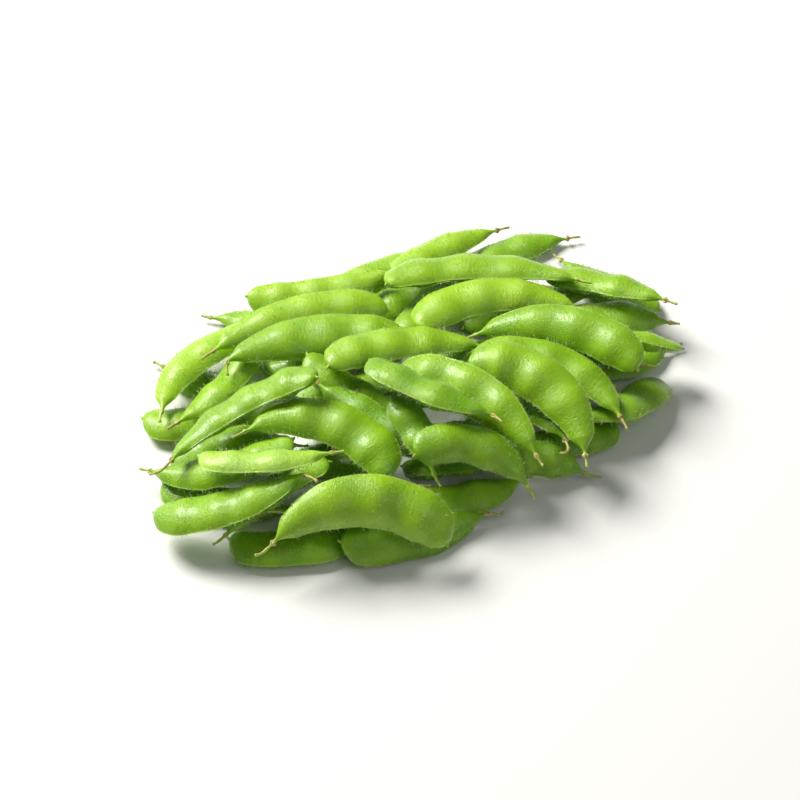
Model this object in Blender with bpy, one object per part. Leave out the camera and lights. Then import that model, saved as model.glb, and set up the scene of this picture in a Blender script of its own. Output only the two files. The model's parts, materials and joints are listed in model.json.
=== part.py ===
"""A bundle of edamame pods: whole cooked pods lying in a loose oval heap on a flat surface.

Every pod is one closed solid: a curved shell with bean bulges, a short beak at its blunt end, and a
neck with a stub of stalk at the other. The layout says where each pod lies in plan. Its height and
tilt aren't given: the pods are laid one by one, from the surface up, and each comes to rest on the
ones below it, as low as its shape lets it lie.

The model is in metres, +Z up, with its origin on the surface below the middle of the heap. The
driving dimensions below are in millimetres and degrees.
"""

import math
from typing import NamedTuple

import bmesh
import bpy
import numpy as np

# --- driving dimensions ---------------------------------------------------------------------------
MM = 0.001

SIDES = 10  # faces round a pod, so that its seams are edges and its broad faces are flat bands
THICKNESS = 0.56  # of a pod's width, at the middle of a bean
WAIST = 0.2  # of the thickness, lost between two beans
PINCH = 0.05  # of the width, lost between two beans
BEAN_START = 0.07  # where the first bean begins, as a share of the length from the beak
BEAN_END = 0.80  # where the last bean ends
BEAN_SPACING = 14.5
FIRST_RING = 0.025  # the ring nearest the beak, as a share of the length
NECK_RINGS = (0.9, 0.97)  # the rings between the last bean and the stalk
BLUNT = 0.16  # share of the length that rounds the blunt end
TAPER_START = 0.52  # where the width begins to fall towards the neck
TAPER_POWER = 1.8  # the outline stays full for longer with a higher power
NECK_RADIUS = 1.3
STALK_RADIUS = 1.0
STALK_LENGTH = 6.0
STALK_BEND = 0.4  # where the stalk turns, as a share of its own length
STALK_DOME = 0.2  # how far the cut end of the stalk stands out
BEAK_LENGTH = 1.4
BEAK_OFFSET = 0.3  # how far the beak sits towards the hollow side, as a share of the half width

CELL = 0.5  # the height map's cells
GAP = 0.3  # clear space between a pod and the ones below it
PRESS = 0.95  # how much the lowest pods are flattened where they lie on the surface
FIELD = (300.0, 220.0)  # the ground that the height map covers

FIRST_PITCHES = (0, 10, -10)  # the tilts that a pod is tried in first
FIRST_ROLLS = (0, 15, -15)
SEARCH_STEPS = ((6, 1.5), (3, 0.8), (1.5, 0.4), (0.7, 0.2))  # of roll in degrees, of place in mm
SEARCH_SAMPLES = (5, 3)  # points along and across each facet, while a pod looks for its place
REST_SAMPLES = (12, 6)  # the same for the place it is left in
MAX_PITCH = 20.0
MAX_ROLL = 40.0
MAX_SHIFT = 4.0
MAX_TURN = 5.0
SHIFT_COST = 0.03  # height, in mm, that a pod must lose to be worth moving 1 mm
TURN_COST = 0.01  # the same for turning 1 degree
PITCH_COST = 0.004  # the same for pitching 1 degree

PALE_GREEN = (0.50, 0.72, 0.10)
DEEP_GREEN = (0.20, 0.42, 0.02)


class Pod(NamedTuple):
    """One pod as it lies in plan: the beak tip, the neck's end and the curve between them."""

    beak: tuple
    neck: tuple
    bow: float = 0.0  # how far the middle stands off the straight line, to the left from beak to neck
    width: float = 15.0
    stalk: float = 0.0  # how far the stalk stub turns to the left, in degrees
    shade: float = 0.5  # 0 is pale, 1 is deep green


# The pods on the surface: first the rim, clockwise from the left, then the ones that the others hide.
GROUND_COURSE = [
    Pod((-93, 4), (-60, -26), bow=-2, shade=0.7),
    Pod((-87, 33), (-44, 18), bow=-3, width=16, shade=0.6),
    Pod((-48, 31), (-69, 53), bow=3, width=13),
    Pod((-22, 38), (-43, 68), bow=-3, width=13.5, shade=0.45),
    Pod((4, 61), (45, 56), bow=2, width=12.5, shade=0.35),
    Pod((50, 46), (89, 42), bow=2, width=14, shade=0.4),
    Pod((97, -8), (82, 31), bow=2, width=15, shade=0.6),
    Pod((52, -14), (91, -25), bow=-3, width=15, shade=0.7),
    Pod((54, -49), (20, -36), bow=3, shade=0.7),
    Pod((-84, -29), (-39, -47), bow=-4, width=15.5, shade=0.65),
    Pod((-25, -41), (13, -52), bow=-3, shade=0.6),
    Pod((-31, -28), (-52, -6), bow=-4, width=16, shade=0.6),
    Pod((-20, -31), (11, -45), bow=-2, width=15, shade=0.65),
    Pod((-46, 0), (-2, -13), bow=4, width=16, shade=0.6),
    Pod((-42, 15), (6, 6), bow=-3, width=16, shade=0.6),
    Pod((-42, 34), (8, 24), bow=-3, width=16, shade=0.6),
    Pod((4, 43), (58, 37), bow=1, width=16, shade=0.6),
    Pod((34, 22), (80, 10), bow=4, width=16, shade=0.55),
    Pod((15, 10), (57, 3), bow=-3, width=16, shade=0.7),
    Pod((64, -33), (13, -18), bow=-4, width=15.5, shade=0.7),
    Pod((-84, 14), (-46, -1), bow=3, width=16, shade=0.6),
    Pod((62, 6), (96, -13), bow=2, width=15.5, shade=0.6),
    Pod((-61, -30), (-20, -41), bow=2, width=15.5, shade=0.65),
]

# The pods that lean on the ones on the surface.
LOWER_COURSE = [
    Pod((-53, -46), (-5, -58), bow=-1, shade=0.65),
    Pod((-43, -26), (-84, -31), bow=-3),
    Pod((-34, -46), (-66, -34), bow=2, width=12.5, shade=0.55),
    Pod((10, -42), (33, -56), bow=2, width=13, shade=0.7),
    Pod((24, -33), (-14, -20), bow=2, width=13, shade=0.75),
    Pod((14, -44), (-8, -28), bow=-2, width=13, shade=0.65),
    Pod((77, -37), (36, -46), bow=5, width=17, shade=0.6),
    Pod((27, -17), (30, -53), bow=4, shade=0.7),
    Pod((50, -25), (69, -37), bow=2, width=13, shade=0.65),
    Pod((69, 19), (93, -19), bow=2, shade=0.55),
    Pod((-48, -18), (-92, 5), bow=6, shade=0.6),
    Pod((20, 51), (65, 54), bow=2, width=13.5, shade=0.3),
    Pod((-28, 46), (-79, 28), bow=-10, width=14, shade=0.25),
    Pod((-35, 57), (19, 49), bow=-4, width=14, shade=0.15),
    Pod((83, -41), (52, -8), bow=3, width=12, shade=0.6),
    Pod((3, 20), (42, 37), bow=3, width=14, shade=0.55),
    Pod((-34, 20), (-12, -12), bow=-2, width=14, shade=0.6),
    Pod((-10, -30), (-30, 6), bow=2, width=14, shade=0.65),
    Pod((34, -6), (-6, -18), bow=2, shade=0.6),
    Pod((-40, 38), (-78, 21), bow=3, width=14, shade=0.6),
]

UPPER_COURSE = [
    Pod((-23, -64), (-76, -43), bow=-13, width=17),
    Pod((-100, -10), (-52, -28), bow=-5, stalk=-60),
    Pod((-17, -14), (-19, -43), bow=1, width=13, shade=0.7),
    Pod((10, 35), (-54, 44), bow=-6, width=14, shade=0.3),
    Pod((11, 37), (73, 6), bow=10, width=16.5, shade=0.4),
    Pod((-27, -43), (-63, -8), bow=-12, width=16, shade=0.45),
    Pod((8, 17), (-54, 32), bow=-6, width=17.5, stalk=60, shade=0.4),
    Pod((-25, -36), (7, -59), bow=8, width=14),
    Pod((70, -40), (32, 6), bow=-9, width=15, shade=0.45),
    Pod((9, 17), (66, 1), bow=11, width=15.5, shade=0.35),
]

TOP_COURSE = [
    Pod((-35, -8), (-90, -1), bow=-10, width=16, shade=0.4),
    Pod((-82, -8), (-46, -30), bow=-3, width=12.5, shade=0.1),
    Pod((-29, 9), (25, -4), bow=6, width=15, shade=0.35),
    Pod((20, -7), (53, -49), bow=11, width=15, shade=0.45),
    Pod((12, -14), (30, -62), bow=11, width=17, shade=0.55),
    Pod((-4, -3), (15, -58), bow=8, width=16),
    Pod((-20, -6), (3, -46), bow=-1, width=16, shade=0.8),
]

COURSES = {
    "ground": GROUND_COURSE,
    "lower": LOWER_COURSE,
    "upper": UPPER_COURSE,
    "top": TOP_COURSE,
}


# --- the shape of one pod -------------------------------------------------------------------------
def length(pod):
    """The straight distance from the beak tip to the neck's end."""
    return math.dist(pod.beak, pod.neck)


def bean_count(pod):
    """Two to four beans, evenly spaced over the part that holds them."""
    return min(4, max(2, round(length(pod) * (BEAN_END - BEAN_START) / BEAN_SPACING)))


def body_stations(pod):
    """Shares of the length where the body has a ring: at each bean, at each waist and at both ends."""
    beans = np.linspace(BEAN_START, BEAN_END, 2 * bean_count(pod) + 1)
    return np.concatenate([[FIRST_RING], beans, NECK_RINGS])


def half_sizes(pod, station):
    """Half width and half thickness at each station."""
    blunt = np.sqrt(1 - (1 - np.clip(station / BLUNT, 0, 1)) ** 2)
    fall = np.clip((station - TAPER_START) / (1 - TAPER_START), 0, 1)
    taper = 1 - fall**TAPER_POWER
    turn = (station - BEAN_START) / (BEAN_END - BEAN_START) * bean_count(pod)
    waist = 0.5 + 0.5 * np.cos(2 * math.pi * turn)
    full = pod.width / 2
    half_width = NECK_RADIUS + (full * (1 - PINCH * waist) - NECK_RADIUS) * blunt * taper
    half_thick = NECK_RADIUS + (full * THICKNESS * (1 - WAIST * waist) - NECK_RADIUS) * blunt * taper
    return half_width, half_thick


def centreline(pod, along):
    """Points and headings of the pod's middle line, in its own plane.

    The line is an arc from the beak (along = 0) to the neck (along = 1), with its middle on the bow
    side of the chord. The chord lies on X with its middle at the origin.
    """
    chord = length(pod)
    half_angle = 2 * math.atan2(2 * pod.bow, chord)
    heading = half_angle * (1 - 2 * along)
    if abs(half_angle) < 1e-6:
        return np.stack([(along - 0.5) * chord, 0 * along], -1), heading
    radius = chord / (2 * math.sin(half_angle))
    x = -radius * np.sin(heading)
    y = radius * (np.cos(heading) - math.cos(half_angle))
    return np.stack([x, y], -1), heading


def rings(pod):
    """The pod's rings as an array (ring, side, xyz), with a pole at each end as a ring of one point."""
    along = body_stations(pod)
    middle, heading = centreline(pod, along)
    half_width, half_thick = half_sizes(pod, along)

    # the stalk leaves the neck straight and then turns
    turned = heading[-1] + math.radians(pod.stalk)
    bend = middle[-1] + STALK_LENGTH * STALK_BEND * direction(heading[-1] + math.radians(pod.stalk) / 3)
    end = bend + STALK_LENGTH * (1 - STALK_BEND) * direction(turned)
    middle = np.concatenate([middle, [bend, end]])
    heading = np.concatenate([heading, [(heading[-1] + turned) / 2, turned]])
    half_width = np.concatenate([half_width, [STALK_RADIUS, STALK_RADIUS]])
    half_thick = np.concatenate([half_thick, [STALK_RADIUS, STALK_RADIUS]])

    across = np.stack([-np.sin(heading), np.cos(heading)], -1)
    angle = 2 * math.pi * (np.arange(SIDES) + 0.5) / SIDES
    sideways = half_width[:, None] * np.sin(angle)
    upright = -half_thick[:, None] * np.cos(angle) / math.cos(math.pi / SIDES)
    plane = middle[:, None] + across[:, None] * sideways[..., None]
    ring = np.concatenate([plane, upright[..., None]], -1)

    hollow_side = -math.copysign(BEAK_OFFSET, pod.bow) * pod.width / 2
    tip = middle[0] - BEAK_LENGTH * direction(heading[0]) + hollow_side * across[0]
    stalk_end = end + STALK_DOME * direction(turned)
    return ring, np.append(tip, 0.0), np.append(stalk_end, 0.0)


def direction(heading):
    """The unit vector that points along a heading."""
    return np.array([math.cos(heading), math.sin(heading)])


def surface_samples(pod, steps_along, steps_round):
    """Points spread over the flat facets of the pod, closer together than the height map's cells."""
    ring, beak, stalk = rings(pod)
    poles = [np.repeat(pole[None, None], SIDES, 1) for pole in (beak, stalk)]
    ring = np.concatenate([poles[0], ring, poles[1]])
    ring = np.concatenate([ring, ring[:, :1]], 1)
    round_share = np.arange(steps_round)[:, None] / steps_round
    fine = ring[:, :-1, None] * (1 - round_share) + ring[:, 1:, None] * round_share
    fine = fine.reshape(len(ring), -1, 3)
    along_share = np.arange(steps_along)[:, None, None] / steps_along
    fine = fine[:-1, None] * (1 - along_share) + fine[1:, None] * along_share
    return fine.reshape(-1, 3)


def centre_of_mass(pod):
    """The mean of the ring centres, each counted by its thickness squared."""
    ring = rings(pod)[0]
    return np.average(ring.mean(1), axis=0, weights=np.ptp(ring[..., 2], axis=1) ** 2)


# --- laying the pods ------------------------------------------------------------------------------
class Pose(NamedTuple):
    """Where a pod lies: the middle of its chord in plan, and its heading, pitch and roll."""

    x: float
    y: float
    heading: float
    pitch: float
    roll: float


def turning(pose):
    """The rotation matrix of a pose: roll about the pod's length, then pitch, then heading."""
    heading, pitch, roll = (math.radians(angle) for angle in pose[2:])
    turn = [np.eye(3) for _ in range(3)]
    planes = ((0, 1), (0, 2), (1, 2))
    for matrix, angle, (first, second) in zip(turn, (heading, pitch, roll), planes, strict=True):
        matrix[first, first] = matrix[second, second] = math.cos(angle)
        matrix[first, second] = -math.sin(angle)
        matrix[second, first] = math.sin(angle)
    return turn[0] @ turn[1] @ turn[2]


def placed(points, pose, height=0.0):
    """Points of a pod, turned and moved to where the pod lies."""
    return points @ turning(pose).T + np.array([pose.x, pose.y, height])


class Heap:
    """The heap so far, as the height of its top over each cell of the ground."""

    def __init__(self):
        size = [round(side / CELL) for side in FIELD]
        self.top = np.zeros(size)

    def cells(self, points):
        """The cell that each point is over. Rounding first keeps the last binary digits out of it."""
        spot = (np.round(points[:, :2], 6) + np.array(FIELD) / 2) / CELL
        cell = np.floor(spot + 1e-7).astype(int)
        return cell[:, 0], cell[:, 1]

    def rest_height(self, points):
        """How far up the points must move to clear the heap."""
        return round(float(np.max(self.top[self.cells(points)] - points[:, 2])), 6)

    def add(self, points):
        """Raise the heap by a pod, one cell wider than the pod is and with its gap on top."""
        pod_top = np.zeros_like(self.top)
        np.maximum.at(pod_top, self.cells(points), points[:, 2] + GAP)
        for axis in (0, 1):
            pod_top = np.maximum(pod_top, np.maximum(np.roll(pod_top, 1, axis), np.roll(pod_top, -1, axis)))
        self.top = np.maximum(self.top, pod_top)


def cost(pose, start, points, heap):
    """The height at which the pod's centre of mass comes to rest, plus a little for leaving its place.

    The first of the points is the centre of mass, which lies inside the pod and so touches nothing.
    """
    spots = placed(points, pose)
    height = heap.rest_height(spots) + spots[0, 2]
    moved = (pose.x - start.x) ** 2 + (pose.y - start.y) ** 2
    turned = (pose.heading - start.heading) ** 2
    return round(height + SHIFT_COST * moved + TURN_COST * turned + PITCH_COST * pose.pitch**2, 4)


def inside_limits(pose, start):
    """True if the pod stays near its place and isn't tilted too far."""
    return (
        abs(pose.x - start.x) <= MAX_SHIFT
        and abs(pose.y - start.y) <= MAX_SHIFT
        and abs(pose.heading - start.heading) <= MAX_TURN
        and abs(pose.pitch) <= MAX_PITCH
        and abs(pose.roll) <= MAX_ROLL
    )


def settled(pod, heap):
    """The pose in which the pod lies lowest: tried coarsely, then improved in ever smaller steps."""
    middle = (np.array(pod.beak) + np.array(pod.neck)) / 2
    heading = math.degrees(math.atan2(pod.neck[1] - pod.beak[1], pod.neck[0] - pod.beak[0]))
    start = Pose(middle[0], middle[1], heading, 0.0, 0.0)
    points = np.concatenate([[centre_of_mass(pod)], surface_samples(pod, *SEARCH_SAMPLES)])

    tries = [start._replace(pitch=pitch, roll=roll) for pitch in FIRST_PITCHES for roll in FIRST_ROLLS]
    costs = [cost(pose, start, points, heap) for pose in tries]
    best = tries[int(np.argmin(costs))]
    least = min(costs)
    for angle, shift in SEARCH_STEPS:
        improved = True
        while improved:
            improved = False
            for field, step in zip(Pose._fields, (shift, shift, angle / 2, angle, angle), strict=True):
                for signed in (step, -step):
                    pose = best._replace(**{field: getattr(best, field) + signed})
                    if not inside_limits(pose, start):
                        continue
                    this = cost(pose, start, points, heap)
                    if this < least - 0.001:
                        best, least, improved = pose, this, True
    return best


# --- the model ------------------------------------------------------------------------------------
def skin(name, shade):
    """The green skin of one pod, between the pale and the deep green."""
    colour = [pale + (deep - pale) * shade for pale, deep in zip(PALE_GREEN, DEEP_GREEN, strict=True)]
    material = bpy.data.materials.new(name + "_skin")
    material.use_nodes = True
    shader = material.node_tree.nodes["Principled BSDF"]
    shader.inputs["Base Color"].default_value = (*colour, 1)
    shader.inputs["Roughness"].default_value = 0.35
    shader.inputs["Metallic"].default_value = 0.0
    material.diffuse_color = (*colour, 1)
    return material


def pod_mesh(name, ring, beak, stalk):
    """A UV sphere whose parallels become the pod's rings and whose poles become its two ends."""
    count = len(ring)
    shape = bmesh.new()
    bmesh.ops.create_uvsphere(shape, u_segments=SIDES, v_segments=count + 1, radius=1.0)
    for vert in shape.verts:
        parallel = round(math.acos(max(-1, min(1, -vert.co.z))) / math.pi * (count + 1))
        meridian = round(math.atan2(vert.co.y, vert.co.x) / (2 * math.pi) * SIDES) % SIDES
        if parallel == 0:
            vert.co = beak
        elif parallel == count + 1:
            vert.co = stalk
        else:
            vert.co = ring[parallel - 1, meridian]
    mesh = bpy.data.meshes.new(name)
    shape.to_mesh(mesh)
    shape.free()
    mesh.shade_smooth()
    return mesh


def clear_scene():
    """Remove the objects that the scene starts with."""
    for thing in list(bpy.data.objects):
        bpy.data.objects.remove(thing, do_unlink=True)


def main():
    clear_scene()
    collection = bpy.data.collections.new("edamame_pod_bundle")
    bpy.context.scene.collection.children.link(collection)

    heap = Heap()
    laid = []
    for course, pods in COURSES.items():
        for number, pod in enumerate(pods, 1):
            pose = settled(pod, heap)
            points = surface_samples(pod, *REST_SAMPLES)
            height = heap.rest_height(placed(points, pose))
            heap.add(placed(points, pose, height))
            shape = [placed(part, pose, height - PRESS) for part in rings(pod)]
            laid.append((f"{course}_pod_{number:02d}", pod, shape))

    everything = np.concatenate([part.reshape(-1, 3) for _, _, shape in laid for part in shape])
    middle = (everything.min(0) + everything.max(0)) / 2
    middle[2] = 0
    for name, pod, shape in laid:
        pressed = [np.maximum(part - middle, (-1e9, -1e9, 0)) * MM for part in shape]
        thing = bpy.data.objects.new(name, pod_mesh(name, *pressed))
        thing.data.materials.append(skin(name, pod.shade))
        collection.objects.link(thing)


main()
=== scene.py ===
"""A bundle of cooked edamame pods: the skins, beaks, stalks and fuzz, on a pale floor.

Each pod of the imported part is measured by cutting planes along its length. Its fine skin is then a
surface of two parameters, distance along the pod and angle round it, that keeps to those sizes. So
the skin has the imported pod's place, curve, length, width and thickness.
"""

import json
import math
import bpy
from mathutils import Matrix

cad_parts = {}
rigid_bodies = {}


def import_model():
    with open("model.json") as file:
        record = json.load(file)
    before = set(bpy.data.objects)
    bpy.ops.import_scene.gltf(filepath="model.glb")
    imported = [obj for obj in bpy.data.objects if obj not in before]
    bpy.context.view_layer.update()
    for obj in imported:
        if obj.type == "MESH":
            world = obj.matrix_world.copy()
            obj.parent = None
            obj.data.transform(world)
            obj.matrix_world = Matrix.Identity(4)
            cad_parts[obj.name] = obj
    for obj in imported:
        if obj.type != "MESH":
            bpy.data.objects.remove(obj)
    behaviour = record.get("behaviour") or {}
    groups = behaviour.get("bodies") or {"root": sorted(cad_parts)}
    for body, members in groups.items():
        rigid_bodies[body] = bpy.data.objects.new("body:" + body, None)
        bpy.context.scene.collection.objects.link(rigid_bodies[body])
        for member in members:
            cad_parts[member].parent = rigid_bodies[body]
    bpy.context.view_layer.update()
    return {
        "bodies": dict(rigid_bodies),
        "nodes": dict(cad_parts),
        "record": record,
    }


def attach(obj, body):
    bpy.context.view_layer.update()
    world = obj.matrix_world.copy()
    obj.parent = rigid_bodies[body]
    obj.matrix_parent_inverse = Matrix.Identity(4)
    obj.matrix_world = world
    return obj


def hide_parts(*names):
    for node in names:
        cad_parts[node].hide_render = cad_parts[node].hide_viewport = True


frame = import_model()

import zlib
from typing import NamedTuple

import bpy
import numpy as np

bl_info = {
    "name": "Edamame Pod Bundle",
    "version": (1, 0, 0),
    "blender": (4, 5, 0),
    "location": "3D View > Sidebar > Edamame",
    "description": "Fine skins, stalks and fuzz for a bundle of edamame pods",
    "category": "Object",
}

MM = 0.001
BODY = "root"
FLOOR_GAP = 0.02 * MM  # nothing of the heap is lower than this
COURSES = ("ground", "lower", "upper", "top")
SLOTS = {part["node"]: part["material_slot"] for part in frame["record"]["subparts"]}


# --- what a user may change -----------------------------------------------------------------------
class PodSettings(bpy.types.PropertyGroup):
    """The shape of a pod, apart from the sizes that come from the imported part."""

    waist: bpy.props.FloatProperty(
        name="Waist",
        description="Extra thinness between two beans, as a share of the thickness",
        default=0.16,
        subtype="FACTOR",
    )
    pinch: bpy.props.FloatProperty(
        name="Pinch",
        description="How sharply the two halves of the shell meet, between 0, round, and 1, thin",
        default=0.30,
        subtype="FACTOR",
    )
    seam: bpy.props.FloatProperty(
        name="Seam ridge",
        description="How far the seam stands out along both edges",
        default=0.35 * MM,
        unit="LENGTH",
        precision=5,
    )
    beak: bpy.props.FloatProperty(
        name="Beak",
        description="Length of the beak beyond the packed pod's tip",
        default=1.6 * MM,
        unit="LENGTH",
        precision=5,
    )
    stalk: bpy.props.FloatProperty(
        name="Stalk radius",
        description="Radius of the stalk stub, half way along",
        default=0.45 * MM,
        unit="LENGTH",
        precision=5,
    )
    hairs: bpy.props.IntProperty(
        name="Hairs",
        description="Count of hairs on each pod",
        default=400,
        min=1,
    )
    hair: bpy.props.FloatProperty(
        name="Hair length",
        description="Usual length of a hair",
        default=1.5 * MM,
        unit="LENGTH",
        precision=5,
    )
    hair_radius: bpy.props.FloatProperty(
        name="Hair radius",
        description="Radius of a hair at its foot",
        default=0.07 * MM,
        unit="LENGTH",
        precision=6,
    )


class SkinSettings(bpy.types.PropertyGroup):
    """The colours and gloss of the pods."""

    pale: bpy.props.FloatVectorProperty(
        name="Pale green",
        description="Colour of the palest skin",
        default=(0.36, 0.62, 0.018),
        subtype="COLOR",
        size=3,
    )
    deep: bpy.props.FloatVectorProperty(
        name="Deep green",
        description="Colour of the deepest skin",
        default=(0.10, 0.31, 0.002),
        subtype="COLOR",
        size=3,
    )
    straw: bpy.props.FloatVectorProperty(
        name="Straw",
        description="Colour of a dry stalk",
        default=(0.52, 0.46, 0.14),
        subtype="COLOR",
        size=3,
    )
    burnt: bpy.props.FloatVectorProperty(
        name="Burnt brown",
        description="Colour of the darkest spots of a dry stalk",
        default=(0.05, 0.02, 0.008),
        subtype="COLOR",
        size=3,
    )
    fuzz: bpy.props.FloatVectorProperty(
        name="Fuzz",
        description="Colour of the hairs",
        default=(0.80, 0.92, 0.52),
        subtype="COLOR",
        size=3,
    )
    gloss: bpy.props.FloatProperty(
        name="Moisture",
        description="Weight of the thin film of water on the skin",
        default=0.7,
        subtype="FACTOR",
    )


class StageSettings(bpy.types.PropertyGroup):
    """The floor, the light and the camera."""

    floor: bpy.props.FloatVectorProperty(
        name="Floor",
        description="Colour of the plain floor",
        default=(0.86, 0.86, 0.85),
        subtype="COLOR",
        size=3,
    )
    lens: bpy.props.FloatProperty(
        name="Lens",
        description="Focal length of the camera",
        default=91.35,
        unit="CAMERA",
    )
    distance: bpy.props.FloatProperty(
        name="Distance",
        description="From the camera to the middle of the bundle",
        default=0.7,
        unit="LENGTH",
    )
    elevation: bpy.props.FloatProperty(
        name="Elevation",
        description="Height of the camera above the horizon",
        default=math.radians(47),
        subtype="ANGLE",
    )
    turn: bpy.props.FloatProperty(
        name="Turn",
        description="Direction in which the camera looks, clockwise from +Y",
        default=math.radians(29),
        subtype="ANGLE",
    )


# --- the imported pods, measured --------------------------------------------------------------------
STATIONS = 120  # cutting planes along a pod
STALK_PART = 6.2 * MM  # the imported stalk, from the neck to its cut end
TIP_PART = 1.4 * MM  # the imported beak
BEAN_RANGE = (0.07, 0.80)  # the part of the body that holds beans
BEAN_COUNTS = (2, 3, 4)
SAME_POINT = 0.002 * MM  # packed points on one step of this grid are one point
OFF_LINE = 0.5 * MM  # points closer than this to the line between the ends don't show the seams' plane
IN_PLANE = 0.03 * MM  # points closer than this to a plane are in it
ARC_RANGE = (0.2, 0.78)  # the part of the length that the arc is fitted to
FITS = 3  # times that the arc is fitted
STALK_BEND = 0.4  # where the stalk's line bends, as a share of the stalk
STALK_AHEAD = 3  # weight of the neck's own direction in the first part of the stalk


class PodLine(NamedTuple):
    """A packed pod's tip, and its middle line and sizes from there to the end of the stalk."""

    tip: np.ndarray
    centre: np.ndarray
    normal: np.ndarray
    half_width: np.ndarray
    half_thick: np.ndarray
    distance: np.ndarray


def packed_triangles(node):
    """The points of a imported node, each once, and its triangles."""
    mesh = frame["nodes"][node].data
    mesh.calc_loop_triangles()
    points = np.empty(len(mesh.vertices) * 3, np.float32)
    mesh.vertices.foreach_get("co", points)
    index = np.empty(len(mesh.loop_triangles) * 3, np.int32)
    mesh.loop_triangles.foreach_get("vertices", index)
    grid = np.round(points.reshape(-1, 3).astype(float) / SAME_POINT).astype(int)
    _, first, same = np.unique(grid, axis=0, return_index=True, return_inverse=True)
    return points.reshape(-1, 3)[first].astype(float), same.ravel()[index].reshape(-1, 3)


def unit(vectors):
    """The same vectors with length 1."""
    return vectors / np.linalg.norm(vectors, axis=-1, keepdims=True)


def two_ends(points, triangles):
    """A pod's two ends, where the most triangles meet."""
    meeting = np.bincount(triangles.ravel())
    return points[np.argsort(meeting)[-2:]]


def seam_normal(points, ends):
    """The normal of the plane through both ends that holds the most points: the plane of the seams."""
    offset = points - ends[0]
    along = unit(ends[1] - ends[0])
    side = offset - (offset @ along)[:, None] * along
    normals = unit(np.cross(along, side[np.linalg.norm(side, axis=1) > OFF_LINE]))
    held = (np.abs(normals @ offset.T) < IN_PLANE).sum(1)
    return normals[held.argmax()]


def reach(triangles, centre, tangent, direction):
    """Lowest and highest reach of the pod's section along a direction, in each cutting plane.

    A triangle's side that passes through the plane meets it at the share h / (h - h') of its length,
    where h and h' are the heights of its two ends over the plane.
    """
    from_centre = triangles[None] - centre[:, None, None]
    height = np.einsum("ktcx,kx->ktc", from_centre, tangent)
    value = np.einsum("ktcx,kx->ktc", from_centre, direction)
    next_height, next_value = np.roll(height, -1, 2), np.roll(value, -1, 2)
    crosses = height * next_height < 0
    share = height / np.where(crosses, height - next_height, 1)
    met = value + share * (next_value - value)
    low = np.where(crosses, met, np.inf).min((1, 2))
    high = np.where(crosses, met, -np.inf).max((1, 2))
    found = np.isfinite(low)
    return np.where(found, low, 0), np.where(found, high, 0)


def smooth(values, distance, width):
    """Each value replaced by the mean of its neighbours, weighted by a bell of the given width."""
    gap = distance[:, None] - distance[None]
    weight = np.exp(-0.5 * (gap / width) ** 2)
    weight /= weight.sum(1, keepdims=True)
    return weight @ values


def along_path(path):
    """The distance of each point of a path from its first."""
    return np.concatenate([[0], np.cumsum(np.linalg.norm(np.diff(path, axis=0), axis=1))])


def fitted_circle(x, y):
    """Centre and radius of the circle x^2 + y^2 = 2 a x + 2 b y + c that fits the points best."""
    terms = np.stack([2 * x, 2 * y, np.ones_like(x)], -1)
    a, b, c = np.linalg.lstsq(terms, x * x + y * y, rcond=None)[0]
    return np.array([a, b]), math.sqrt(c + a * a + b * b)


def circle_arc(hub, radius, start, end, count):
    """Points of a circle, at equal steps from the one nearest start to the one nearest end."""
    first, last = (math.atan2(*(point - hub)[::-1]) for point in (start, end))
    turn = (last - first + math.pi) % (2 * math.pi) - math.pi
    angle = first + np.linspace(0, turn, count)
    return hub + radius * np.stack([np.cos(angle), np.sin(angle)], -1)


def sections(triangles, line, normal):
    """Sizes of the pod across a line, and how far the middle of each section is off it."""
    tangent = unit(np.gradient(line, axis=0))
    across = unit(np.cross(normal, tangent))
    flat = np.repeat(normal[None], len(line), 0)
    low, high = reach(triangles, line, tangent, across)
    bottom, top = reach(triangles, line, tangent, flat)
    off = across * ((low + high) / 2)[:, None] + flat * ((bottom + top) / 2)[:, None]
    return (high - low) / 2, (top - bottom) / 2, off


def measured(node):
    """The middle line and sizes of a packed pod.

    A pod's body is bent to an arc. The arc is fitted to the middles of the sections across the straight
    line between both ends, and then to those of the sections across the arc itself, twice. From the
    neck on, the line follows the stalk.
    """
    points, index = packed_triangles(node)
    triangles = points[index]
    ends = two_ends(points, index)
    normal = seam_normal(points, ends)
    share = np.linspace(0, 1, STATIONS)
    line = ends[0] + share[:, None] * (ends[1] - ends[0])
    half_width, _, off = sections(triangles, line, normal)
    quarter = STATIONS // 4
    if half_width[:quarter].sum() < half_width[-quarter:].sum():
        ends, line, off = ends[::-1], line[::-1], off[::-1]
    chord = unit(ends[1] - ends[0])
    plane = np.stack([chord, np.cross(normal, chord)])
    far = plane @ (ends[1] - ends[0])
    inner = (share > ARC_RANGE[0]) & (share < ARC_RANGE[1])
    for _ in range(FITS):
        x, y = plane @ (line + off - ends[0])[inner].T
        hub, radius = fitted_circle(x, y)
        line = ends[0] + circle_arc(hub, radius, np.zeros(2), far, STATIONS) @ plane
        half_width, half_thick, off = sections(triangles, line, normal)
    neck = np.argmax(np.linalg.norm(line - ends[1], axis=1) < STALK_PART)
    heading = unit(line[neck] - line[neck - 3])
    ahead = unit(STALK_AHEAD * heading + unit(ends[1] - line[neck]))
    bend = line[neck] + STALK_BEND * STALK_PART * ahead
    line = np.concatenate([line[: neck + 1], [bend, ends[1]]])
    sizes = np.stack([half_width[: neck + 1], half_thick[: neck + 1]])
    sizes = np.concatenate([sizes, sizes[:, -1:], sizes[:, -1:]], 1)
    return PodLine(ends[0], line, normal, *sizes, along_path(line))


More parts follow.
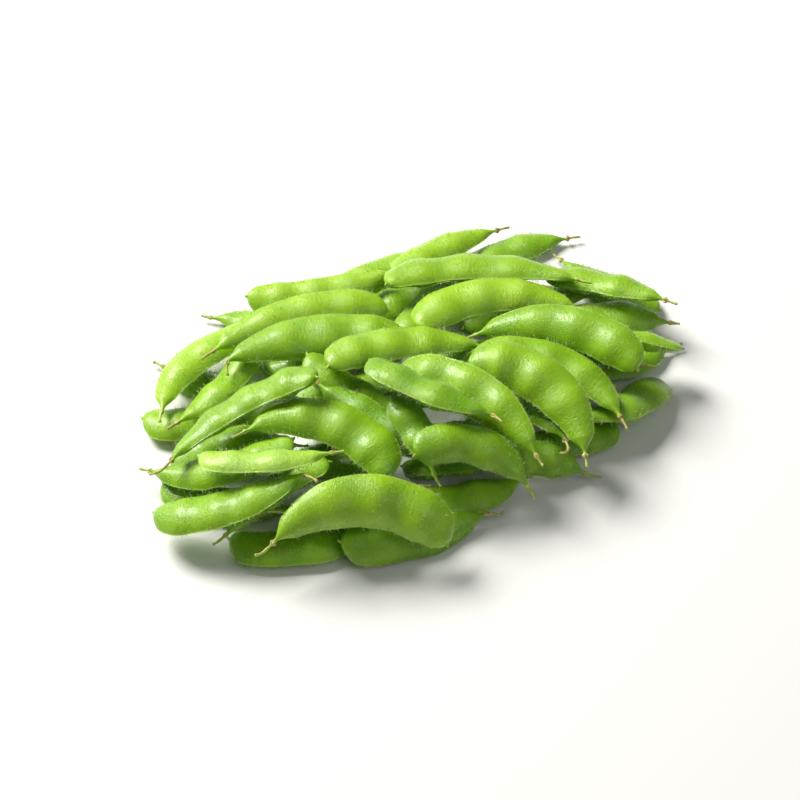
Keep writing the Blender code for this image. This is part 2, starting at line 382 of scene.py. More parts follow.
# --- the fine pods --------------------------------------------------------------------------------
ROUND = 36  # points round a pod's section
CLUSTER = 0.72  # how much closer together they are at the seams
CAP = 3.5 * MM  # the part of the blunt end that is rounded
CAP_POWER = 0.55  # below 1, the more the blunter
BEAK_RADII = (0.25 * MM, 0.75 * MM)  # at the beak's point and at its foot
SLANT = 9 * MM  # the part of the pod in which its middle swings over to the beak
TO_TIP = 0.8  # how far it swings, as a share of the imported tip's offset
HOOK = 0.35  # how much further the beak's point swings
BODY_START = 4 * MM  # from the tip to where the beans have their full effect
BODY_END = 6 * MM  # from there to the neck, at the other end
NECK_START = 4 * MM  # how far before the neck the body begins to turn into the stalk
SIZE_BELL = 1.3 * MM  # the bell that smooths the measured sizes
RIPPLE_BELL = 7 * MM  # the bell that takes the beans out of the measured thickness
PATH_BELL = 0.7 * MM  # the bell that smooths the middle line
PLUMPNESS = (-0.06, 0.05)  # least and most extra thickness of a bean, as a share
WAIST_PINCH = 0.35  # extra sharpness of the edges at a waist
SEAM_SPREAD = 0.12  # sine of the angle over which a seam's ridge falls off
UNEVEN = 0.022  # depth of the slow waves of the skin, as a share of the thickness
WAVE_STEPS = (5.3 * MM, 3.1 * MM)
KNOT, KNOT_STEP = 0.18, 0.55 * MM  # swellings of the stalk: their depth as a share, and their step
CUT_SWELL, CUT_LENGTH = 0.25, 0.8 * MM  # the thicker cut end of the stalk
CUT_RIM = 0.5 * MM  # the part of the cut end that is rounded
CALYX = 2.6 * MM  # how far past the neck the dried calyx is
CALYX_BELL = 0.7 * MM  # how far the calyx reaches along the stalk
FLARE = 0.9  # how much wider the calyx is than the stalk, as a share
LOBES, LOBE_DEPTH = 5, 0.6  # points of the calyx
DRY_FADE = 2.2 * MM  # over which green skin turns into dry calyx
DRY_BEAK = 0.6  # dryness of the beak's point
FIRST_HAIR, LAST_HAIR = 24, 36  # rings without hairs at the beak and at the stalk


class Look(NamedTuple):
    """What makes one pod differ from the next."""

    extra: float = 1.0 * MM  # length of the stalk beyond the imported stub
    curl: float = 0.0  # turn of that length to the left, in degrees
    dry: float = 0.5  # 0 is a green stalk, 1 is a brown one
    shade: float = 0.0  # added to the shade of the pod's slot: below 0 is paler, above 0 is deeper


# The pods whose stalks or shades stand out. The others differ at random.
LOOKS = {
    "ground_pod_05": Look(2 * MM, 40, 1.0),
    "ground_pod_06": Look(2 * MM, -50, 0.9),
    "ground_pod_07": Look(1 * MM, 0, 0.6),
    "lower_pod_01": Look(3 * MM, 70, 0.9),
    "lower_pod_02": Look(2 * MM, 60, 0.3),
    "lower_pod_08": Look(5 * MM, 150, 1.0),
    "lower_pod_11": Look(1 * MM, 0, 0.3, 0.15),
    "lower_pod_12": Look(2 * MM, 30, 0.9),
    "lower_pod_13": Look(2 * MM, 30, 0.3, -0.05),
    "lower_pod_14": Look(2 * MM, -30, 0.9, -0.1),
    "upper_pod_01": Look(4 * MM, -50, 0.4),
    "upper_pod_02": Look(3 * MM, -40, 0.9),
    "upper_pod_04": Look(2 * MM, 40, 0.8),
    "upper_pod_07": Look(2 * MM, 40, 0.3),
    "upper_pod_08": Look(1 * MM, 0, 0.3, 0.1),
    "upper_pod_09": Look(3 * MM, -40, 0.3),
    "upper_pod_10": Look(2 * MM, 30, 1.0),
    "top_pod_01": Look(7 * MM, -110, 0.9),
    "top_pod_02": Look(1 * MM, 20, 0.4, -0.3),
    "top_pod_04": Look(2 * MM, 30, 1.0),
    "top_pod_05": Look(1 * MM, 0, 0.6),
    "top_pod_07": Look(1 * MM, 20, 0.9),
}


def smoothstep(low, high, values):
    """0 below low, 1 above high, and an S-shaped rise between them."""
    share = np.clip((values - low) / (high - low), 0, 1)
    return share * share * (3 - 2 * share)


def arc(start, heading, normal, length, turn, count):
    """Points of an arc that leaves start along heading and turns about the normal."""
    side = np.cross(normal, heading)
    angle = (np.arange(count) + 0.5) * turn / count
    steps = heading * np.cos(angle)[:, None] + side * np.sin(angle)[:, None]
    return start + np.cumsum(steps * length / count, axis=0)


def bean_cycle(pod):
    """Where each station is in the row of beans: a whole number at a waist, and a half at a bean.

    The count of beans, two to four, is the one whose row follows the measured thickness best.
    """
    body = (pod.distance - TIP_PART) / (pod.distance[-1] - TIP_PART - STALK_PART)
    share = (body - BEAN_RANGE[0]) / (BEAN_RANGE[1] - BEAN_RANGE[0])
    inside = (share > 0.05) & (share < 0.95)
    ripple = pod.half_thick - smooth(pod.half_thick, pod.distance, RIPPLE_BELL)
    rows = [-np.cos(2 * np.pi * count * share[inside]) for count in BEAN_COUNTS]
    fits = [np.corrcoef(ripple[inside], row)[0, 1] for row in rows]
    count = BEAN_COUNTS[np.argmax(fits)]
    return np.clip(share, 0, 1) * count, count


def fine_path(pod, look):
    """The fine pod's stations, its middle line there, with the beak and all of the stalk, and its neck.

    A station is the distance s along the line, which is 0 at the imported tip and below 0 on the beak.
    The stations are closest at the beak, at the blunt end and at the calyx.
    """
    beak_length = bpy.context.scene.edamame_pod.beak
    heading = unit(np.stack([pod.centre[0] - pod.centre[1], pod.centre[-1] - pod.centre[-2]]))
    beak = pod.centre[0] + heading[0] * beak_length
    tail = arc(pod.centre[-1], heading[1], pod.normal, look.extra, math.radians(look.curl), 12)
    path = np.concatenate([[beak], pod.centre, tail])
    distance = along_path(path) - beak_length
    neck = pod.distance[-1] - STALK_PART
    spans = [
        np.linspace(-beak_length, 0, 6, endpoint=False),
        CAP * np.linspace(0, 1, 16, endpoint=False) ** 2,
        np.linspace(CAP, neck - 5 * MM, 58, endpoint=False),
        np.linspace(neck - 5 * MM, neck + 4.4 * MM, 26, endpoint=False),
        np.linspace(neck + 4.4 * MM, distance[-1], 12),
    ]
    s = np.concatenate(spans)
    centre = np.stack([np.interp(s, distance, axis) for axis in path.T], -1)
    return s, smooth(centre, s, PATH_BELL), neck


def swung(pod, centre, s):
    """The middle line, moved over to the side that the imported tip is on.

    The move is TO_TIP of the tip's offset, times (1 - s / SLANT)^2 on the body and times
    1 + HOOK (s / beak)^2 on the beak.
    """
    beak = bpy.context.scene.edamame_pod.beak
    swing = np.where(s < 0, 1 + HOOK * (s / beak) ** 2, np.clip(1 - s / SLANT, 0, 1) ** 2)
    to_tip = TO_TIP * (pod.tip - pod.centre[0])
    return centre + swing[:, None] * to_tip


def bean_waves(pod, s, body, random):
    """How far each station is a waist, how far it is a bean, and how plump the bean there is.

    With c the place in the row of beans, waist = (1 + cos 2 pi c) / 2 and bean = (1 - cos 2 pi c) / 2,
    both times body, which fades out towards the ends.
    """
    cycles, beans = bean_cycle(pod)
    cycle = np.interp(s, pod.distance, cycles)
    plump = np.interp(cycle, np.arange(beans) + 0.5, random.uniform(*PLUMPNESS, beans))
    wave = 0.5 * np.cos(2 * np.pi * cycle)
    return body * (0.5 + wave), body * (0.5 - wave), plump


def stalk_radii(s, random):
    """The stalk's radius: the setting times 1 + a sine for the knots + a bell for the thicker cut end.

    Over CUT_RIM it closes in along a quarter of a circle, to half of that at the cut.
    """
    knots = KNOT * np.sin(s / KNOT_STEP + random.uniform(0, 6))
    knots = knots + CUT_SWELL * np.exp(-(((s - s[-1]) / CUT_LENGTH) ** 2))
    from_end = np.clip((s[-1] - s) / CUT_RIM, 0, 1)
    radius = bpy.context.scene.edamame_pod.stalk * (1 + knots)
    return radius * (0.5 + 0.5 * np.sqrt(1 - (1 - from_end) ** 2))


def half_sizes(pod, s, neck, random):
    """The fine pod's half width and half thickness along it, before its beans are shaped.

    Each is the measured half size, smoothed, times (s / CAP)^CAP_POWER over the blunt end. With the
    beak's radius b it becomes (size^4 + b^4)^(1/4), and over the neck it turns into the stalk's radius.
    """
    beak = bpy.context.scene.edamame_pod.beak
    rounding = np.clip(s / CAP, 0, 1) ** CAP_POWER
    beak_radius = np.interp(s, [-beak, 0, CAP], [*BEAK_RADII, 0])
    stalk = stalk_radii(s, random)
    on_stalk = smoothstep(neck - NECK_START, neck + CALYX, s)
    sizes = []
    for found in (pod.half_width, pod.half_thick):
        size = smooth(found, pod.distance, SIZE_BELL)
        half = np.interp(np.maximum(s, CAP), pod.distance, size) * rounding
        half = (half**4 + beak_radius**4) ** 0.25
        sizes.append(half * (1 - on_stalk) + stalk * on_stalk)
    return sizes


def dryness(s, neck, calyx, look):
    """How dry each station is, from 0 to 1: the stalk from the calyx on, and the beak's point."""
    start = neck + CALYX
    dry = smoothstep(start - DRY_FADE, start, s) * (0.72 + 0.28 * calyx) * (0.35 + 0.65 * look.dry)
    on_beak = 1 - smoothstep(-bpy.context.scene.edamame_pod.beak, 0.3 * MM, s)
    return np.maximum(dry, DRY_BEAK * on_beak)


def pod_surface(pod, look, random):
    """The fine pod as rings of points, with the masks that its material reads.

    At distance s along the pod and angle a round it, the point is centre(s) + across(s) y + normal z.
    y = w(s) cos a, and z = t(s) |sin a| ^ p(s), with the sign of sin a. w and t are the half sizes. p is
    1 where the section is round, at the stalk and the beak, and larger where two half shells meet in an
    edge, most of all at a waist. A narrow ridge is added to y at both seams, both are wider at the
    calyx, by a bell along the stalk and LOBES waves round it, and two slow waves are added to z.
    """
    settings = bpy.context.scene.edamame_pod
    s, centre, neck = fine_path(pod, look)
    tangent = unit(np.gradient(centre, s, axis=0))
    across = unit(np.cross(pod.normal, tangent))
    centre = swung(pod, centre, s)

    body = smoothstep(0, BODY_START, s) * (1 - smoothstep(neck - BODY_END, neck, s))
    waist, bean, plump = bean_waves(pod, s, body, random)
    half_width, half_thick = half_sizes(pod, s, neck, random)
    half_thick = half_thick * (1 - settings.waist * waist + plump * bean)

    even = 2 * np.pi * np.arange(ROUND) / ROUND
    angle = even - CLUSTER * np.sin(2 * even) / 2
    cos, sin = np.cos(angle), np.sin(angle)
    seam = np.exp(-((sin / SEAM_SPREAD) ** 2))
    power = 1 + body * (settings.pinch + WAIST_PINCH * waist)
    calyx = np.exp(-(((s - neck - CALYX) / CALYX_BELL) ** 2))
    lobes = 1 + LOBE_DEPTH * np.cos(LOBES * angle + random.uniform(0, 6))
    flare = 1 + FLARE * calyx[:, None] * lobes
    y = half_width[:, None] * cos * flare + np.sign(cos) * seam * (settings.seam * body)[:, None]
    z = half_thick[:, None] * np.sign(sin) * np.abs(sin) ** power[:, None] * flare
    phase = random.uniform(0, 2 * np.pi, 2)
    wave = np.sin(s[:, None] / WAVE_STEPS[0] + phase[0] + 2 * angle)
    wave = wave + np.sin(s[:, None] / WAVE_STEPS[1] + phase[1] - angle)
    z = z * (1 + UNEVEN * body[:, None] * wave)
    points = centre[:, None] + across[:, None] * y[..., None] + pod.normal * z[..., None]
    points[..., 2] = np.maximum(points[..., 2], FLOOR_GAP)

    place = np.stack(np.broadcast_arrays(s[:, None], y, z), -1)
    masks = {
        # where the beans bulge; the material paints a highlight there and painted shade at the waists
        "bean": np.repeat(bean[:, None], ROUND, 1),
        "seam": seam[None] * body[:, None],
        "dry": np.repeat(dryness(s, neck, calyx, look)[:, None], ROUND, 1),
    }
    return points, place, masks


def surface_normals(points):
    """Outward normals of a tube's rings: the cross product of the steps round it and along it."""
    along = np.gradient(points, axis=0)
    around = np.roll(points, -1, 1) - np.roll(points, 1, 1)
    return unit(np.cross(around, along) + 1e-12)


def hairs(points, random, count):
    """Slender bent spikes on a pod, each a closed shape of ten triangles.

    A spike's foot is at a random place of the surface, f. With out the normal there and lean a random
    direction towards the beak, its middle is f + length (0.5 out + 0.12 lean), and its tip is
    f + length (0.85 out + 0.5 lean). A ring of three points goes round the foot and the middle.
    """
    settings = bpy.context.scene.edamame_pod
    rings, sides = points.shape[:2]
    ring = random.integers(FIRST_HAIR, rings - LAST_HAIR, count)
    side = random.integers(0, sides, count)
    share = random.uniform(0, 1, (count, 1))
    foot = points[ring, side] * (1 - share) + points[ring + 1, (side + 1) % sides] * share
    out = surface_normals(points)[ring, side]
    back = unit(points[ring - 1, side] - points[ring, side])
    spread = unit(random.normal(size=(count, 3)))
    length = settings.hair * random.uniform(0.5, 1.2, (count, 1))
    lean = unit(back + 0.9 * spread)
    middle = foot + length * (0.5 * out + 0.12 * lean)
    tip = foot + length * (0.85 * out + 0.5 * lean)
    side_a = unit(np.cross(out, lean))
    side_b = np.cross(out, side_a)
    turn = 2 * np.pi * np.arange(3) / 3
    round_hair = side_a[:, None] * np.cos(turn)[:, None] + side_b[:, None] * np.sin(turn)[:, None]
    radius = settings.hair_radius
    base_ring = (foot - 0.1 * MM * out)[:, None] + radius * round_hair
    middle_ring = middle[:, None] + 0.7 * radius * round_hair
    spikes = np.concatenate([base_ring, middle_ring, tip[:, None]], 1)
    shape = [[0, 2, 1], [3, 4, 6], [4, 5, 6], [5, 3, 6]]  # the foot's lid and the point
    shape += [[0, 1, 4], [0, 4, 3], [1, 2, 5], [1, 5, 4], [2, 0, 3], [2, 3, 5]]  # the sides
    faces = np.array(shape)[None] + 7 * np.arange(count)[:, None, None]
    return spikes.reshape(-1, 3), faces.reshape(-1, 3)


def closed_tube(rings):
    """Vertices and faces of a tube of rings, with a fan to a middle point at each end."""
    count, sides = rings.shape[:2]
    vertices = np.concatenate([rings.reshape(-1, 3), rings[:1].mean(1), rings[-1:].mean(1)])
    ring = np.arange(count - 1)[:, None] * sides
    side = np.arange(sides)[None]
    turn = (side + 1) % sides
    after = ring + sides
    quads = np.stack(np.broadcast_arrays(ring + side, ring + turn, after + turn, after + side), -1)
    side, turn = side[0], turn[0]
    first = np.stack([np.full(sides, count * sides), turn, side], -1)
    base = (count - 1) * sides
    last = np.stack([np.full(sides, count * sides + 1), base + side, base + turn], -1)
    return vertices, quads.reshape(-1, 4), np.concatenate([first, last])


def with_poles(values):
    """Values on a tube's rings, with those of its two middle points added at the end."""
    flat = values.reshape(-1, *values.shape[2:])
    return np.concatenate([flat, values[:1, 0], values[-1:, 0]])


def mesh_object(name, vertices, quads, triangles, material):
    """A smooth mesh object at the origin, from arrays of vertices, quads and triangles."""
    mesh = bpy.data.meshes.new(name)
    mesh.vertices.add(len(vertices))
    mesh.vertices.foreach_set("co", vertices.astype(np.float32).ravel())
    loops = np.concatenate([quads.ravel(), triangles.ravel()]).astype(np.int32)
    starts = np.concatenate([np.arange(len(quads)) * 4, quads.size + np.arange(len(triangles)) * 3])
    mesh.loops.add(len(loops))
    mesh.loops.foreach_set("vertex_index", loops)
    mesh.polygons.add(len(starts))
    mesh.polygons.foreach_set("loop_start", starts.astype(np.int32))
    mesh.update(calc_edges=True)
    mesh.validate()
    mesh.shade_smooth()
    mesh.materials.append(material)
    thing = bpy.data.objects.new(name, mesh)
    bpy.context.scene.collection.objects.link(thing)
    return thing


def add_mask(mesh, name, values):
    """One number for each vertex, for the material to read."""
    mesh.attributes.new(name, "FLOAT", "POINT").data.foreach_set("value", values.astype(np.float32))


def add_vector(mesh, name, values):
    """One vector for each vertex, for the material to read."""
    layer = mesh.attributes.new(name, "FLOAT_VECTOR", "POINT")
    layer.data.foreach_set("vector", values.astype(np.float32).ravel())


def random_for(node):
    """A random source that is the same in each run and differs from pod to pod."""
    return np.random.default_rng(zlib.crc32(node.encode()))


def make_pod(node):
    """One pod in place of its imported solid. Returns its hairs, to be joined with those of its course."""
    random = random_for(node)
    line = measured(node)
    usual = Look(random.uniform(0.3, 2) * MM, random.uniform(-50, 50), random.uniform(0, 1))
    look = LOOKS.get(node, usual)
    points, place, masks = pod_surface(line, look, random)
    vertices, quads, triangles = closed_tube(points)
    slot = SLOTS[node]
    name = node.replace("_pod_", "_edamame_")
    pod = mesh_object(name, vertices, quads, triangles, skin_material(slot))
    add_vector(pod.data, "place", with_poles(place) / MM + random.uniform(0, 500, 3))
    for mask, values in masks.items():
        add_mask(pod.data, mask, with_poles(values))
    add_mask(pod.data, "shade", np.full(len(vertices), look.shade + random.uniform(-0.1, 0.1)))
    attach(pod, BODY)
    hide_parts(node)
    return hairs(points, random, bpy.context.scene.edamame_pod.hairs)


def make_fuzz(course, parts):
    """The hairs of a course's pods as one piece."""
    starts = np.cumsum([0] + [len(points) for points, _ in parts[:-1]])
    vertices = np.concatenate([points for points, _ in parts])
    moved = [faces + start for (_, faces), start in zip(parts, starts, strict=True)]
    triangles = np.concatenate(moved)
    vertices[:, 2] = np.maximum(vertices[:, 2], FLOOR_GAP)
    fuzz = mesh_object(course + "_fuzz", vertices, np.empty((0, 4), int), triangles, fuzz_material())
    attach(fuzz, BODY)


# --- materials ------------------------------------------------------------------------------------
SHADES = {"pale_pod_skin": 0.2, "fresh_pod_skin": 0.45, "deep_pod_skin": 0.65}  # 0 is pale, 1 is deep
WHITISH_GREEN = (0.50, 0.80, 0.24, 1)  # on the palest patches
SEAM_GREEN = (0.62, 0.80, 0.20, 1)
DARK_FUZZ = (0.50, 0.70, 0.22, 1)
VEIN_STRETCH = (1.3, 0.3, 0.3)  # veins are short along the pod and long across it
BUMP_DEPTH = 0.5 * MM

# What is the same all over a moist skin: a thin clear film, and light that goes a little way in.
MOIST_SKIN = {
    "IOR": 1.5,
    "Specular Tint": (1.0, 1.0, 0.8, 1),
    "Coat Roughness": 0.2,
    "Sheen Weight": 0.03,
    "Sheen Roughness": 0.35,
    "Sheen Tint": (0.8, 1.0, 0.35, 1),
    "Subsurface Weight": 0.2,
    "Subsurface Scale": 1.5 * MM,
    "Subsurface Radius": (0.8, 1.0, 0.15),
}


class Nodes:
    """Short ways to add nodes to one node tree and to join them."""

    def __init__(self, tree):
        self.tree = tree

    def add(self, kind, **settings):
        """A node of a kind, with its settings."""
        node = self.tree.nodes.new("ShaderNode" + kind)
        for name, value in settings.items():
            setattr(node, name, value)
        return node

    def link(self, source, target):
        """Join an output to an input."""
        self.tree.links.new(source, target)

    def put(self, socket, value):
        """Join a socket to another, or give it a value."""
        if isinstance(value, bpy.types.NodeSocket):
            self.link(value, socket)
        else:
            socket.default_value = value

    def math(self, operation, first, second):
        """The result of an operation on two numbers."""
        node = self.add("Math", operation=operation)
        self.put(node.inputs[0], first)
        self.put(node.inputs[1], second)
        return node.outputs[0]

    def mix(self, factor, first, second):
        """The first colour where the factor is 0, and the second where it is 1."""
        node = self.add("Mix", data_type="RGBA")
        self.put(node.inputs["Factor"], factor)
        self.put(node.inputs[6], first)
        self.put(node.inputs[7], second)
        return node.outputs[2]

    def noise(self, place, scale, detail=2.0, rough=0.5):
        """Noise of about 1 / scale to a lump, with detail finer steps."""
        node = self.add("TexNoise")
        self.put(node.inputs["Vector"], place)
        self.put(node.inputs["Scale"], scale)
        self.put(node.inputs["Detail"], detail)
        self.put(node.inputs["Roughness"], rough)
        return node.outputs["Fac"]

    def scaled(self, place, scale):
        """A place times a scale along each axis."""
        node = self.add("Mapping")
        self.put(node.inputs["Vector"], place)
        self.put(node.inputs["Scale"], scale)
        return node.outputs[0]

    def ranged(self, value, low, high, to_low, to_high):
        """A value between low and high, brought between to_low and to_high and kept there."""
        node = self.add("MapRange")
        for socket, number in zip(node.inputs, (value, low, high, to_low, to_high)):
            self.put(socket, number)
        return node.outputs[0]


def group_tree(name, inputs, outputs):
    """A shader node group with named sockets: its tree, ways to add to it, and its two ends."""
    tree = bpy.data.node_groups.new(name, "ShaderNodeTree")
    for label, kind in inputs:
        tree.interface.new_socket(label, in_out="INPUT", socket_type="NodeSocket" + kind)
    for label, kind in outputs:
        tree.interface.new_socket(label, in_out="OUTPUT", socket_type="NodeSocket" + kind)
    nodes = Nodes(tree)
    return tree, nodes, tree.nodes.new("NodeGroupInput"), tree.nodes.new("NodeGroupOutput")


def skin_group():
    """The living skin: mottled green, a painted highlight over the beans, paler seams, fine cross veins.

    Place is in millimetres in the pod's own frame: along it, across it and through it. The shade is
    the pod's own, plus mottle, less a little over each bean, plus veins. The part over each bean is a
    painted highlight on its bulge, which leaves the waists darker as painted shade. The height of the
    bump is half veins and half pores. The film of water is patchy: it is thick in some pores and on some
    patches.
    """
    if "pod skin" in bpy.data.node_groups:
        return bpy.data.node_groups["pod skin"]
    tree, n, given, result = group_tree(
        "pod skin",
        [
            ("Place", "Vector"),
            ("Shade", "Float"),
            ("Bean", "Float"),
            ("Seam", "Float"),
            ("Pale", "Color"),
            ("Deep", "Color"),
            ("Moisture", "Float"),
        ],
        [("Color", "Color"), ("Roughness", "Float"), ("Height", "Float"), ("Film", "Float")],
    )
    place = given.outputs["Place"]
    mottle = n.noise(place, 0.13, 3.0)
    veins = n.noise(n.scaled(place, VEIN_STRETCH), 1.0, 4.0, 0.65)
    pores = n.noise(place, 1.7, 3.0, 0.7)
    shade = n.math("ADD", given.outputs["Shade"], n.ranged(mottle, 0.3, 0.7, -0.16, 0.16))
    # painted highlight: paler over each bean's bulge, which leaves the waists darker as painted shade
    shade = n.math("SUBTRACT", shade, n.math("MULTIPLY", given.outputs["Bean"], 0.12))
    shade = n.math("ADD", shade, n.ranged(veins, 0.3, 0.7, -0.06, 0.06))
    colour = n.mix(shade, given.outputs["Pale"], given.outputs["Deep"])
    colour = n.mix(n.ranged(shade, -0.35, 0.05, 0.5, 0), colour, WHITISH_GREEN)
    seam = n.math("MULTIPLY", given.outputs["Seam"], 0.35)
    colour = n.mix(seam, colour, SEAM_GREEN)
    rough = n.ranged(pores, 0.35, 0.65, 0.15, 0.38)
    height = n.math("ADD", n.math("MULTIPLY", veins, 0.5), n.math("MULTIPLY", pores, 0.5))
    wet_pores = n.ranged(pores, 0.45, 0.58, 0.1, 1)
    wet_patches = n.ranged(mottle, 0.35, 0.6, 0.4, 1)
    film = n.math("MULTIPLY", n.math("MULTIPLY", wet_pores, wet_patches), given.outputs["Moisture"])
    n.link(colour, result.inputs["Color"])
    n.link(rough, result.inputs["Roughness"])
    n.link(height, result.inputs["Height"])
    n.link(film, result.inputs["Film"])
    return tree


def dry_group():
    """Dried stalk and beak: straw to brown, with burnt spots."""
    if "dry end" in bpy.data.node_groups:
        return bpy.data.node_groups["dry end"]
    tree, n, given, result = group_tree(
        "dry end",
        [("Place", "Vector"), ("Dry", "Float"), ("Skin", "Color"), ("Straw", "Color"), ("Burnt", "Color")],
        [("Color", "Color")],
    )
    spots = n.noise(given.outputs["Place"], 0.9, 3.0)
    driest = n.ranged(given.outputs["Dry"], 0.5, 1, 0, 1)
    burnt = n.math("MULTIPLY", n.ranged(spots, 0.48, 0.62, 0, 1), driest)
    stalk = n.mix(burnt, given.outputs["Straw"], given.outputs["Burnt"])
    colour = n.mix(n.ranged(given.outputs["Dry"], 0.1, 0.7, 0, 1), given.outputs["Skin"], stalk)
    n.link(colour, result.inputs["Color"])
    return tree


def new_material(name):
    """A material with nodes, ways to add to them, and its shader."""
    material = bpy.data.materials.new(name)
    material.use_nodes = True
    return material, Nodes(material.node_tree), material.node_tree.nodes["Principled BSDF"]


def mask(nodes, name):
    """A number that the mesh holds for each vertex."""
    return nodes.add("Attribute", attribute_name=name).outputs["Fac"]


def use_group(nodes, tree, **inputs):
    """A node group placed in a material, with its inputs joined or set by name."""
    node = nodes.add("Group")
    node.node_tree = tree
    for name, value in inputs.items():
        nodes.put(node.inputs[name], value)
    return node


def skin_material(slot):
    """A pod's material for one of the record's slots."""
    name = "moist_" + slot
    if name in bpy.data.materials:
        return bpy.data.materials[name]
    colours = bpy.context.scene.edamame_skin
    material, n, shader = new_material(name)
    place = n.add("Attribute", attribute_name="place").outputs["Vector"]
    skin = use_group(
        n,
        skin_group(),
        Place=place,
        Shade=n.math("ADD", mask(n, "shade"), SHADES[slot]),
        Bean=mask(n, "bean"),
        # the bean mask drives a painted highlight over the beans and painted shade at the waists
        Seam=mask(n, "seam"),
        Pale=(*colours.pale, 1),
        Deep=(*colours.deep, 1),
        Moisture=colours.gloss,
    )
    dry = use_group(
        n,
        dry_group(),
        Place=place,
        Dry=mask(n, "dry"),
        Skin=skin.outputs["Color"],
        Straw=(*colours.straw, 1),
        Burnt=(*colours.burnt, 1),
    )
    bump = n.add("Bump")
    bump.inputs["Strength"].default_value = 1.0
    bump.inputs["Distance"].default_value = BUMP_DEPTH
    n.link(skin.outputs["Height"], bump.inputs["Height"])
    n.link(dry.outputs["Color"], shader.inputs["Base Color"])
    n.link(skin.outputs["Roughness"], shader.inputs["Roughness"])
    n.link(bump.outputs["Normal"], shader.inputs["Normal"])
    n.link(skin.outputs["Film"], shader.inputs["Coat Weight"])
    for socket, value in MOIST_SKIN.items():
        shader.inputs[socket].default_value = value
    return material


def fuzz_material():
    """Pale, soft hairs."""
    if "pod_fuzz" in bpy.data.materials:
        return bpy.data.materials["pod_fuzz"]
    material, n, shader = new_material("pod_fuzz")
    place = n.add("TexCoord").outputs["Object"]
    pale = (*bpy.context.scene.edamame_skin.fuzz, 1)
    n.link(n.mix(n.noise(place, 60.0), pale, DARK_FUZZ), shader.inputs["Base Color"])
    shader.inputs["Roughness"].default_value = 0.55
    return material


def floor_material():
    """A plain pale surface with the faintest unevenness in its sheen."""
    material, n, shader = new_material("floor")
    place = n.add("TexCoord").outputs["Object"]
    shader.inputs["Base Color"].default_value = (*bpy.context.scene.edamame_stage.floor, 1)
    n.link(n.ranged(n.noise(place, 8.0), 0, 1, 0.75, 0.85), shader.inputs["Roughness"])
    return material


# --- the stage ------------------------------------------------------------------------------------
FLOOR_SIDE = 5.0
FLOOR_HEIGHT = -0.05 * MM
# Name, place, side, power and colour. The key is behind and above the heap, and the fill is in front.
LIGHTS = (
    ("key", (-0.35, 0.95, 1.05), 0.7, 36.0, (1.0, 0.98, 0.93)),
    ("fill", (0.3, -0.9, 1.1), 0.9, 3.0, (1.0, 1.0, 1.0)),
)
ROOM_LIGHT = 0.115
AIM = (0, 0, 0.012)  # the camera faces this point
SHIFT = (-0.0056, -0.0283)


def make_floor():
    """A wide flat sheet, just under the lowest pods."""
    side = np.array([-0.5, 0.5]) * FLOOR_SIDE
    x, y = np.meshgrid(side, side)
    vertices = np.stack([x.ravel(), y.ravel(), np.full(4, FLOOR_HEIGHT)], -1)
    quad, none = np.array([[0, 1, 3, 2]]), np.empty((0, 3), int)
    mesh_object("floor", vertices, quad, none, floor_material())


def facing_angles(direction):
    """The Euler angles that turn -Z to a direction, with +Y kept upward."""
    x, y, z = direction / np.linalg.norm(direction)
    return math.acos(-z), 0.0, math.atan2(y, x) - math.pi / 2


def make_lights():
    """Square soft lights that face the middle of the heap, in a dim white room."""
    for name, place, side, power, colour in LIGHTS:
        light = bpy.data.lights.new(name, "AREA")
        light.size = side
        light.energy = power
        light.color = colour
        thing = bpy.data.objects.new(name, light)
        thing.location = place
        thing.rotation_euler = facing_angles(-np.array(place))
        bpy.context.scene.collection.objects.link(thing)
    world = bpy.data.worlds.new("room")
    world.use_nodes = True
    background = world.node_tree.nodes["Background"]
    background.inputs["Color"].default_value = (1.0, 1.0, 1.0, 1)
    background.inputs["Strength"].default_value = ROOM_LIGHT
    bpy.context.scene.world = world
    bpy.context.scene.view_settings.view_transform = "Standard"


def make_camera():
    """The camera looks down at the heap, past a point a little above the floor."""
    settings = bpy.context.scene.edamame_stage
    flat = math.cos(settings.elevation)
    ahead = (math.sin(settings.turn) * flat, math.cos(settings.turn) * flat, -math.sin(settings.elevation))
    camera = bpy.data.cameras.new("camera")
    camera.sensor_width = 36.0
    camera.lens = settings.lens
    camera.shift_x, camera.shift_y = SHIFT
    camera.clip_start = 0.01
    thing = bpy.data.objects.new("camera", camera)
    thing.location = np.array(AIM) - np.array(ahead) * settings.distance
    thing.rotation_euler = facing_angles(np.array(ahead))
    bpy.context.scene.collection.objects.link(thing)
    bpy.context.scene.camera = thing


# --- the operators and the panel ------------------------------------------------------------------
class EDAMAME_OT_pods(bpy.types.Operator):
    """Make the fine pods of one course of the heap, with their fuzz"""

    bl_idname = "edamame.pods"
    bl_label = "Pods"

    course: bpy.props.StringProperty(name="Course", description="Course of the heap", default="top")

    def execute(self, context):
        nodes = [node for node in sorted(frame["nodes"]) if node.startswith(self.course + "_pod_")]
        if not nodes:
            raise RuntimeError(f"the packed part has no pods in the course {self.course!r}")
        make_fuzz(self.course, [make_pod(node) for node in nodes])
        return {"FINISHED"}


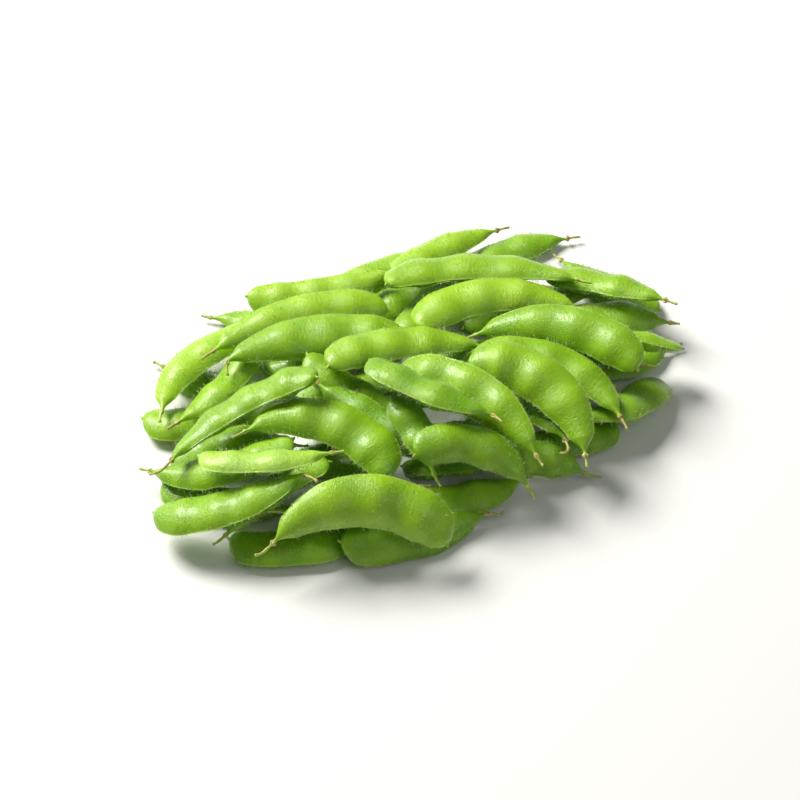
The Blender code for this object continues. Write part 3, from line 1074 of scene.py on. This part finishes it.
class EDAMAME_OT_stage(bpy.types.Operator):
    """Make the floor, the soft light and the camera"""

    bl_idname = "edamame.stage"
    bl_label = "Stage"

    def execute(self, context):
        make_floor()
        make_lights()
        make_camera()
        return {"FINISHED"}


class EDAMAME_PT_panel(bpy.types.Panel):
    """Lists the settings and the operators"""

    bl_idname = "EDAMAME_PT_panel"
    bl_label = "Edamame Pod Bundle"
    bl_space_type = "VIEW_3D"
    bl_region_type = "UI"
    bl_category = "Edamame"

    def draw(self, context):
        for title, name in (("Pod", "edamame_pod"), ("Skin", "edamame_skin"), ("Stage", "edamame_stage")):
            box = self.layout.box()
            box.label(text=title)
            settings = getattr(context.scene, name)
            for setting in type(settings).__annotations__:
                box.prop(settings, setting)
        for course in COURSES:
            self.layout.operator("edamame.pods", text=f"{course.title()} pods").course = course
        self.layout.operator("edamame.stage")


CLASSES = (
    PodSettings,
    SkinSettings,
    StageSettings,
    EDAMAME_OT_pods,
    EDAMAME_OT_stage,
    EDAMAME_PT_panel,
)


def register():
    """Add the classes and the scene's settings to Blender."""
    for kind in CLASSES:
        bpy.utils.register_class(kind)
    bpy.types.Scene.edamame_pod = bpy.props.PointerProperty(type=PodSettings)
    bpy.types.Scene.edamame_skin = bpy.props.PointerProperty(type=SkinSettings)
    bpy.types.Scene.edamame_stage = bpy.props.PointerProperty(type=StageSettings)


def unregister():
    """Take them out again, in the opposite order."""
    del bpy.types.Scene.edamame_stage
    del bpy.types.Scene.edamame_skin
    del bpy.types.Scene.edamame_pod
    for kind in reversed(CLASSES):
        bpy.utils.unregister_class(kind)


def clear_scene():
    """Remove what a new file holds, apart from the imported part."""
    kept = set(frame["nodes"].values()) | set(frame["bodies"].values())
    for thing in list(bpy.data.objects):
        if thing not in kept:
            bpy.data.objects.remove(thing, do_unlink=True)


def main():
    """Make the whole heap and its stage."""
    register()
    clear_scene()
    for course in COURSES:
        bpy.ops.edamame.pods(course=course)
    bpy.ops.edamame.stage()


if __name__ == "__main__":
    main()
